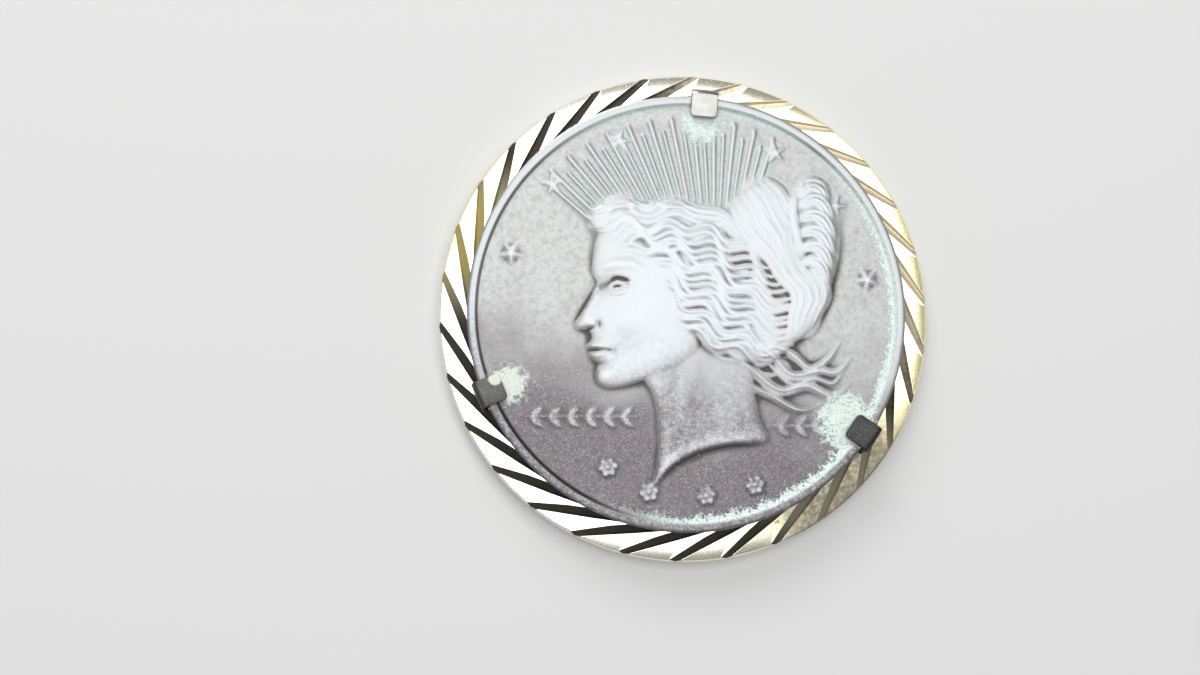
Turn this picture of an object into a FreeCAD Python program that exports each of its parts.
"""Prong-set coin mount: a crown-size coin on a bright-cut gilt ring, held by a steel claw.

The claw is a flat steel washer with three tabs. Each tab turns up through a slot in the gilt
ring, stands beside the coin's edge, and ends in a prong that folds down over the coin's rim.
Folding the three prongs up by a quarter turn frees the coin.

Millimetres, +Z up. The origin is in the middle of the underside, and +Y points to the top of
the coin's design. Sections are drawn in the XZ plane and turned about Z to their own places.
"""
import FreeCAD, Part
import os

import Sketcher
from FreeCAD import Placement, Rotation, Vector

PARTS_FOLDER = "parts"

SIZES = {
    # the coin
    "coin_diameter": 38.1,
    "coin_thickness": 2.4,
    "coin_rim_width": 0.95,
    "coin_field_depth": 0.28,
    "coin_edge_bevel": 0.15,
    # the raised design on the coin's face, as plain discs and bars
    "head_height": 0.24,
    "head_width": 15.0,
    "head_right": 1.0,
    "head_up": 1.8,
    "bun_height": 0.2,
    "bun_width": 6.4,
    "bun_rim_gap": 3.8,
    "bun_up": 5.0,
    "neck_height": 0.14,
    "neck_width": 8.0,
    "neck_right": 1.6,
    "neck_rim_gap": 4.4,
    "ray_count": 15,
    "ray_height": 0.1,
    "ray_width": 0.35,
    "ray_length": 4.8,
    "ray_rim_gap": 2.2,
    "ray_hub_right": 1.0,
    "ray_hub_up": 1.5,
    "ray_first_angle": 62.0,
    "ray_spread": 92.0,
    # the gilt ring: its border shows round the coin, and its ledge lies under the coin
    "ring_border": 2.65,
    "ring_ledge": 2.55,
    "ring_seat_margin": 0.65,
    "ring_thickness": 1.4,
    "ring_top_fall": 0.1,
    "ring_edge_bevel": 0.18,
    # the slanted bright cuts round the ring
    "cut_count": 30,
    "cut_first_angle": 10.0,
    "cut_inset": 0.6,
    "cut_start": 3.2,
    "cut_width": 0.83,
    "cut_depth": 0.26,
    "cut_steep_side": 0.22,
    "cut_overrun": 1.0,
    # the steel claw and its prongs
    "sheet_thickness": 0.45,
    "claw_inset": 0.35,
    "claw_band": 2.9,
    "claw_bend_bevel": 0.16,
    "prong_width": 2.35,
    "prong_overlap": 1.9,
    "prong_corner": 0.4,
    "prong_angle_top": 85.0,
    "prong_angle_left": 202.5,
    "prong_angle_right": 325.0,
    # clearances
    "coin_side_gap": 0.18,
    "coin_top_gap": 0.05,
    "slot_clearance": 0.1,
    "fold_gap": 0.05,
}

PRONG_PLACES = ("top", "left", "right")

# ---------------------------------------------------------------- the sheet of sizes

doc = FreeCAD.newDocument("coin_mount")
sheet = doc.addObject("Spreadsheet::Sheet", "Sizes")
for row, (alias, value) in enumerate(SIZES.items(), start=1):
    sheet.set(f"A{row}", alias)
    sheet.set(f"B{row}", str(value))
    sheet.setAlias(f"B{row}", alias)
doc.recompute()


def now(formula):
    """The number that a formula of the sheet gives with the sizes it holds now."""
    result = sheet.evalExpression(formula.replace("Sizes.", ""))
    return float(getattr(result, "Value", result))


# Heights from the underside, and radii from the middle, as formulas of the sheet.
RING_BOTTOM = "Sizes.sheet_thickness"
RING_TOP = f"({RING_BOTTOM} + Sizes.ring_thickness)"
COIN_BOTTOM = RING_TOP
COIN_TOP = f"({COIN_BOTTOM} + Sizes.coin_thickness)"
COIN_RADIUS = "(Sizes.coin_diameter / 2)"
FIELD_RADIUS = f"({COIN_RADIUS} - Sizes.coin_rim_width)"
FRONT_FIELD = f"({COIN_TOP} - Sizes.coin_field_depth)"
BACK_FIELD = f"({COIN_BOTTOM} + Sizes.coin_field_depth)"
RING_RADIUS = f"({COIN_RADIUS} + Sizes.ring_border)"
CLAW_RADIUS = f"({COIN_RADIUS} - Sizes.claw_inset)"
CLAW_WINDOW = f"({CLAW_RADIUS} - Sizes.claw_band)"
LEG_INSIDE = f"({COIN_RADIUS} + Sizes.coin_side_gap)"
LEG_OUTSIDE = f"({LEG_INSIDE} + Sizes.sheet_thickness)"
FOLD_RADIUS = f"({LEG_INSIDE} + Sizes.sheet_thickness / 2)"
PRONG_BOTTOM = f"({COIN_TOP} + Sizes.coin_top_gap)"
PRONG_TOP = f"({PRONG_BOTTOM} + Sizes.sheet_thickness)"
FOLD_HEIGHT = f"({PRONG_BOTTOM} + Sizes.sheet_thickness / 2)"
LEG_TOP = f"({PRONG_BOTTOM} - Sizes.fold_gap)"
PRONG_TIP = f"({COIN_RADIUS} - Sizes.prong_overlap)"


# ---------------------------------------------------------------- drawing helpers

def new_body(label):
    """An empty PartDesign body whose label is the sub-part's name."""
    body = doc.addObject("PartDesign::Body", label)
    body.Label = label
    return body


def origin_feature(body, role):
    """One of a body's own origin planes or axes."""
    return next(f for f in body.Origin.OriginFeatures if f.Role == role)


def section_sketch(body, name, turn="0", shift="0"):
    """A sketch in the body's XZ plane: its x runs outwards and its y runs up.

    The plane is turned about Z by an angle in degrees, then moved along its own normal,
    which points to -Y where nothing is turned.
    """
    sketch = body.newObject("Sketcher::SketchObject", name)
    sketch.AttachmentSupport = [(origin_feature(body, "XZ_Plane"), "")]
    sketch.MapMode = "FlatFace"
    sketch.AttachmentOffset = Placement(Vector(0, 0, 0), Rotation(Vector(0, 1, 0), now(turn)))
    sketch.setExpression("AttachmentOffset.Rotation.Angle", f"({turn}) * 1 deg")
    sketch.setExpression("AttachmentOffset.Base.x", f"({shift}) * sin({turn}) * 1 mm")
    sketch.setExpression("AttachmentOffset.Base.z", f"({shift}) * cos({turn}) * 1 mm")
    return sketch


def plan_sketch(body, name, height, right="0", up="0"):
    """A sketch parallel to the body's XY plane, at a height, centred where right and up say."""
    sketch = body.newObject("Sketcher::SketchObject", name)
    sketch.AttachmentSupport = [(origin_feature(body, "XY_Plane"), "")]
    sketch.MapMode = "FlatFace"
    for axis, formula in (("x", right), ("y", up), ("z", height)):
        sketch.setExpression(f"AttachmentOffset.Base.{axis}", f"({formula}) * 1 mm")
    return sketch


def hold_point(sketch, edge, formulas):
    """Pins the start of an edge at an (x, y) given by two formulas of the sheet."""
    for kind, formula in zip(("DistanceX", "DistanceY"), formulas):
        offset = now(formula)
        if offset >= 0:
            ends = (-1, 1, edge, 1)
        else:
            ends = (edge, 1, -1, 1)
        number = sketch.addConstraint(Sketcher.Constraint(kind, *ends, abs(offset)))
        sketch.setExpression(f"Constraints[{number}]", f"abs({formula})")


def draw_outline(sketch, corners):
    """Straight edges through corners given by formulas, closed and fully held."""
    first = sketch.GeometryCount
    places = [Vector(now(x), now(y), 0) for x, y in corners]
    for start, end in zip(places, places[1:] + places[:1]):
        sketch.addGeometry(Part.LineSegment(start, end), False)
    for number in range(len(corners)):
        following = (number + 1) % len(corners)
        sketch.addConstraint(
            Sketcher.Constraint("Coincident", first + number, 2, first + following, 1))
    for number, corner in enumerate(corners):
        hold_point(sketch, first + number, corner)


def draw_circle(sketch, centre, diameter):
    """A circle whose centre and diameter are formulas of the sheet."""
    x, y = (now(formula) for formula in centre)
    circle = Part.Circle(Vector(x, y, 0), Vector(0, 0, 1), now(diameter) / 2)
    edge = sketch.addGeometry(circle, False)
    for kind, formula in zip(("DistanceX", "DistanceY"), centre):
        number = sketch.addConstraint(Sketcher.Constraint(kind, -1, 1, edge, 3, now(formula)))
        sketch.setExpression(f"Constraints[{number}]", formula)
    number = sketch.addConstraint(Sketcher.Constraint("Diameter", edge, now(diameter)))
    sketch.setExpression(f"Constraints[{number}]", diameter)


def revolve(body, name, corners):
    """A section turned once round the Z axis."""
    sketch = section_sketch(body, f"{name}_section")
    draw_outline(sketch, corners)
    feature = body.newObject("PartDesign::Revolution", name)
    feature.Profile = sketch
    feature.ReferenceAxis = (sketch, ["V_Axis"])
    feature.Angle = 360
    doc.recompute()
    return feature


def extrude(body, kind, name, sketch, length, symmetric=True, reverse=False):
    """A Pad or a Pocket of a sketch, whose length is a formula, checked to change the solid."""
    before = volume(body)
    feature = body.newObject(f"PartDesign::{kind}", name)
    feature.Profile = sketch
    feature.SideType = "Symmetric" if symmetric else "One side"
    feature.Reversed = reverse
    feature.setExpression("Length", f"({length}) * 1 mm")
    doc.recompute()
    require_change(body, name, before, grows=kind == "Pad")
    return feature


def volume(body):
    """A body's volume, or nothing before its first feature."""
    return 0.0 if body.Shape.isNull() else body.Shape.Volume


def require_change(body, name, before, grows):
    """Stops if a feature that should add or remove material did not."""
    change = volume(body) - before
    if (change > 0) != grows or abs(change) < 1e-6:
        raise RuntimeError(f"{name} changed the volume of {body.Label} by {change:.6f}")


def repeat_round(body, name, feature, count, angle, axis):
    """Copies a feature round an axis, count times over an angle in degrees."""
    before = volume(body)
    pattern = body.newObject("PartDesign::PolarPattern", name)
    pattern.Originals = [feature]
    pattern.Axis = axis
    pattern.setExpression("Angle", f"({angle}) * 1 deg")
    pattern.setExpression("Occurrences", count)
    body.Tip = pattern
    doc.recompute()
    require_change(body, name, before, grows=feature.TypeId == "PartDesign::Pad")
    return pattern


def round_edges(body, name, chosen, radius):
    """Rounds the edges of the body's last feature that chosen(edge) picks."""
    base = body.Tip
    names = [f"Edge{n}" for n, edge in enumerate(base.Shape.Edges, start=1) if chosen(edge)]
    if not names:
        raise RuntimeError(f"{name} found no edge of {body.Label}")
    fillet = body.newObject("PartDesign::Fillet", name)
    fillet.Base = (base, names)
    fillet.setExpression("Radius", f"({radius}) * 1 mm")
    doc.recompute()
    return fillet


# ---------------------------------------------------------------- the coin

def make_coin():
    """A disc with a raised rim on both faces, and a plain head, crown and neck on the front."""
    body = new_body("coin")
    bevel = "Sizes.coin_edge_bevel"
    revolve(body, "coin_blank", [
        ("0", BACK_FIELD),
        (FIELD_RADIUS, BACK_FIELD),
        (FIELD_RADIUS, COIN_BOTTOM),
        (f"{COIN_RADIUS} - {bevel}", COIN_BOTTOM),
        (COIN_RADIUS, f"{COIN_BOTTOM} + {bevel}"),
        (COIN_RADIUS, f"{COIN_TOP} - {bevel}"),
        (f"{COIN_RADIUS} - {bevel}", COIN_TOP),
        (FIELD_RADIUS, COIN_TOP),
        (FIELD_RADIUS, FRONT_FIELD),
        ("0", FRONT_FIELD),
    ])
    bun_right = f"({FIELD_RADIUS} - Sizes.bun_rim_gap - Sizes.bun_width / 2)"
    make_neck(body)
    make_crown(body)
    add_disc(body, "head", ("Sizes.head_right", "Sizes.head_up"), "Sizes.head_width")
    add_disc(body, "bun", (bun_right, "Sizes.bun_up"), "Sizes.bun_width")
    return body


def add_disc(body, name, centre, width):
    """A round boss on the front field, as high as its own size in the sheet says."""
    sketch = plan_sketch(body, f"{name}_outline", FRONT_FIELD)
    draw_circle(sketch, centre, width)
    extrude(body, "Pad", name, sketch, f"Sizes.{name}_height", symmetric=False)


def make_neck(body):
    """The bust's neck: a plain block from the head down to its cut foot."""
    left = "(Sizes.neck_right - Sizes.neck_width / 2)"
    right = "(Sizes.neck_right + Sizes.neck_width / 2)"
    foot = f"(Sizes.neck_rim_gap - {FIELD_RADIUS})"
    sketch = plan_sketch(body, "neck_outline", FRONT_FIELD)
    draw_outline(sketch, [
        (left, foot),
        (right, foot),
        (right, "Sizes.head_up"),
        (left, "Sizes.head_up"),
    ])
    extrude(body, "Pad", "neck", sketch, "Sizes.neck_height", symmetric=False)


def make_crown(body):
    """Thin rays that fan out round a hub behind the head."""
    sketch = plan_sketch(body, "ray_outline", FRONT_FIELD, "Sizes.ray_hub_right", "Sizes.ray_hub_up")
    sketch.setExpression("AttachmentOffset.Rotation.Angle", "Sizes.ray_first_angle * 1 deg")
    half = "(Sizes.ray_width / 2)"
    end = f"({FIELD_RADIUS} - Sizes.ray_rim_gap - Sizes.ray_hub_up)"
    start = f"({end} - Sizes.ray_length)"
    draw_outline(sketch, [(start, f"-{half}"), (end, f"-{half}"), (end, half), (start, half)])
    ray = extrude(body, "Pad", "ray", sketch, "Sizes.ray_height", symmetric=False)
    repeat_round(body, "crown", ray, "Sizes.ray_count", "Sizes.ray_spread", (sketch, ["N_Axis"]))


# ---------------------------------------------------------------- the gilt ring

def make_cut_ring():
    """A flat ring that the coin rests on, with slanted cuts all round and a slot per prong."""
    body = new_body("cut_ring")
    bevel = "Sizes.ring_edge_bevel"
    window = f"({COIN_RADIUS} - Sizes.ring_ledge)"
    seat = f"({COIN_RADIUS} + Sizes.ring_seat_margin)"
    shoulder = f"({RING_TOP} - Sizes.ring_top_fall)"
    revolve(body, "ring_blank", [
        (window, RING_BOTTOM),
        (f"{RING_RADIUS} - {bevel}", RING_BOTTOM),
        (RING_RADIUS, f"{RING_BOTTOM} + {bevel}"),
        (RING_RADIUS, f"{shoulder} - {bevel}"),
        (f"{RING_RADIUS} - {bevel}", shoulder),
        (seat, RING_TOP),
        (window, RING_TOP),
    ])
    make_bright_cuts(body)
    for place in PRONG_PLACES:
        cut_prong_slot(body, place)
    return body


def make_bright_cuts(body):
    """Slanted V cuts. Each runs straight from under the coin's edge out through the rim."""
    middle = f"({COIN_RADIUS} - Sizes.cut_inset)"
    inside = f"({middle} - Sizes.cut_width / 2)"
    outside = f"({middle} + Sizes.cut_width / 2)"
    above = f"({RING_TOP} + Sizes.cut_overrun)"
    deepest = (f"{outside} - Sizes.cut_steep_side", f"{RING_TOP} - Sizes.cut_depth")
    sketch = section_sketch(body, "cut_section", "Sizes.cut_first_angle", "Sizes.cut_start")
    draw_outline(sketch, [
        (inside, RING_TOP),
        deepest,
        (outside, RING_TOP),
        (outside, above),
        (inside, above),
    ])
    run = f"{RING_RADIUS} + Sizes.cut_overrun"
    cut = extrude(body, "Pocket", "cut", sketch, run, symmetric=False, reverse=True)
    axis = (origin_feature(body, "Z_Axis"), [""])
    repeat_round(body, "cuts", cut, "Sizes.cut_count", "360", axis)


def cut_prong_slot(body, place):
    """The slot that one tab of the claw passes through."""
    clearance = "Sizes.slot_clearance"
    inside = f"({LEG_INSIDE} - {clearance})"
    outside = f"({LEG_OUTSIDE} + {clearance})"
    below = "0"
    above = f"({RING_TOP} + Sizes.cut_overrun)"
    sketch = section_sketch(body, f"slot_section_{place}", f"Sizes.prong_angle_{place}")
    draw_outline(sketch, [(inside, below), (outside, below), (outside, above), (inside, above)])
    extrude(body, "Pocket", f"slot_{place}", sketch, f"Sizes.prong_width + 2 * {clearance}")


# ---------------------------------------------------------------- the steel claw

def make_claw():
    """A flat washer under the ring, with three tabs that turn up beside the coin's edge."""
    body = new_body("claw")
    revolve(body, "washer", [
        (CLAW_WINDOW, "0"),
        (CLAW_RADIUS, "0"),
        (CLAW_RADIUS, "Sizes.sheet_thickness"),
        (CLAW_WINDOW, "Sizes.sheet_thickness"),
    ])
    for place in PRONG_PLACES:
        add_tab(body, place)
    return body


def add_tab(body, place):
    """One tab: flat out from the washer, then straight up to just under its prong's fold."""
    root = f"({CLAW_RADIUS} - Sizes.claw_band / 2)"
    bevel = "Sizes.claw_bend_bevel"
    sketch = section_sketch(body, f"tab_section_{place}", f"Sizes.prong_angle_{place}")
    draw_outline(sketch, [
        (root, "0"),
        (f"{LEG_OUTSIDE} - {bevel}", "0"),
        (LEG_OUTSIDE, bevel),
        (LEG_OUTSIDE, LEG_TOP),
        (LEG_INSIDE, LEG_TOP),
        (LEG_INSIDE, "Sizes.sheet_thickness"),
        (root, "Sizes.sheet_thickness"),
    ])
    extrude(body, "Pad", f"tab_{place}", sketch, "Sizes.prong_width")


def make_prong(place):
    """A folding tongue: a round fold on the bend line and a flat tip over the coin's rim."""
    body = new_body(f"prong_{place}")
    turn = f"Sizes.prong_angle_{place}"
    fold = section_sketch(body, f"fold_section_{place}", turn)
    draw_circle(fold, (FOLD_RADIUS, FOLD_HEIGHT), "Sizes.sheet_thickness")
    extrude(body, "Pad", f"fold_{place}", fold, "Sizes.prong_width")
    tip = section_sketch(body, f"tip_section_{place}", turn)
    draw_outline(tip, [
        (PRONG_TIP, PRONG_BOTTOM),
        (FOLD_RADIUS, PRONG_BOTTOM),
        (FOLD_RADIUS, PRONG_TOP),
        (PRONG_TIP, PRONG_TOP),
    ])
    extrude(body, "Pad", f"tip_{place}", tip, "Sizes.prong_width")
    round_edges(body, f"corners_{place}", stands_at_tip, "Sizes.prong_corner")
    return body


def stands_at_tip(edge):
    """True for the two upright edges at a prong's inner end."""
    ends = [vertex.Point for vertex in edge.Vertexes]
    if len(ends) != 2:
        return False
    upright = abs(ends[0].x - ends[1].x) < 1e-6 and abs(ends[0].y - ends[1].y) < 1e-6
    distance = (ends[0].x ** 2 + ends[0].y ** 2) ** 0.5
    return upright and distance < now(COIN_RADIUS)


# ---------------------------------------------------------------- checks and files

def check_document():
    """Stops if any object of the document failed to build."""
    for item in doc.Objects:
        if "Invalid" in item.State or "Error" in item.State:
            raise RuntimeError(f"{item.Label} did not build: {item.State}")


def write_parts(bodies):
    """Writes each sub-part's solid to its own STEP file."""
    os.makedirs(PARTS_FOLDER, exist_ok=True)
    for body in bodies:
        shape = body.Shape
        if shape.isNull() or not shape.isValid() or len(shape.Solids) != 1:
            raise RuntimeError(f"{body.Label} is not one valid solid")
        shape.exportStep(os.path.join(PARTS_FOLDER, f"{body.Label}.step"))
        box = shape.BoundBox
        print(f"{body.Label:12} {shape.Volume:9.3f} mm3  x {box.XMin:.2f} {box.XMax:.2f}"
              f"  y {box.YMin:.2f} {box.YMax:.2f}  z {box.ZMin:.2f} {box.ZMax:.2f}")


sub_parts = [make_coin(), make_cut_ring(), make_claw()]
sub_parts += [make_prong(place) for place in PRONG_PLACES]
doc.recompute()
check_document()
write_parts(sub_parts)
